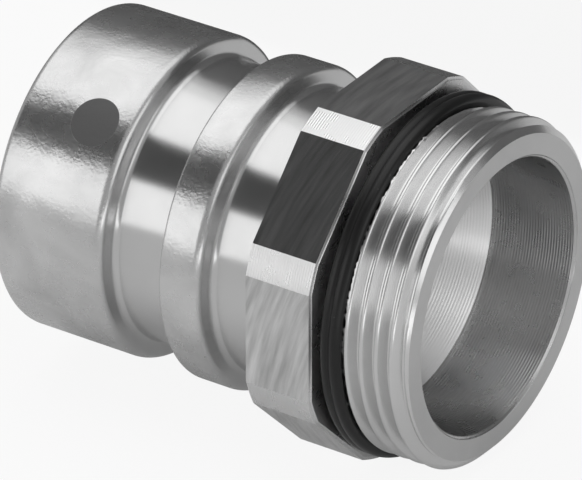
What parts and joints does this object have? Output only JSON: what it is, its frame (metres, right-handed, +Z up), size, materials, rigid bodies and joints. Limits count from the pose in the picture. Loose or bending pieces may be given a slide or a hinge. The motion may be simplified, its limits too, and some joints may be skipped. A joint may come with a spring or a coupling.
{
  "type": "press fitting adapter",
  "caption": "Straight stainless steel press fitting adapter: male parallel thread with ring seal, wrench octagon, seal bead and press collar for a tube.",
  "frame": {"origin": "middle of the bottom of the part's box, under the octagon flat that it lies on", "axes": "+X along the fitting's axis, out of the threaded end; +Z up from the flat that it lies on; +Y across"},
  "size_m": [0.0654, 0.05, 0.05],
  "materials": {
    "stainless_steel": "turned and milled, satin",
    "seal_rubber": "smooth moulded black rubber",
    "separator_plastic": "moulded, matte",
    "spring_steel": "plain rolled spring steel"
  },
  "bodies": {
    "root": {"adapter_body": "stainless_steel", "thread_seal_ring": "seal_rubber", "press_seal_ring": "seal_rubber", "separator_ring": "separator_plastic", "grip_ring": "spring_steel"}
  },
  "joints": []
}
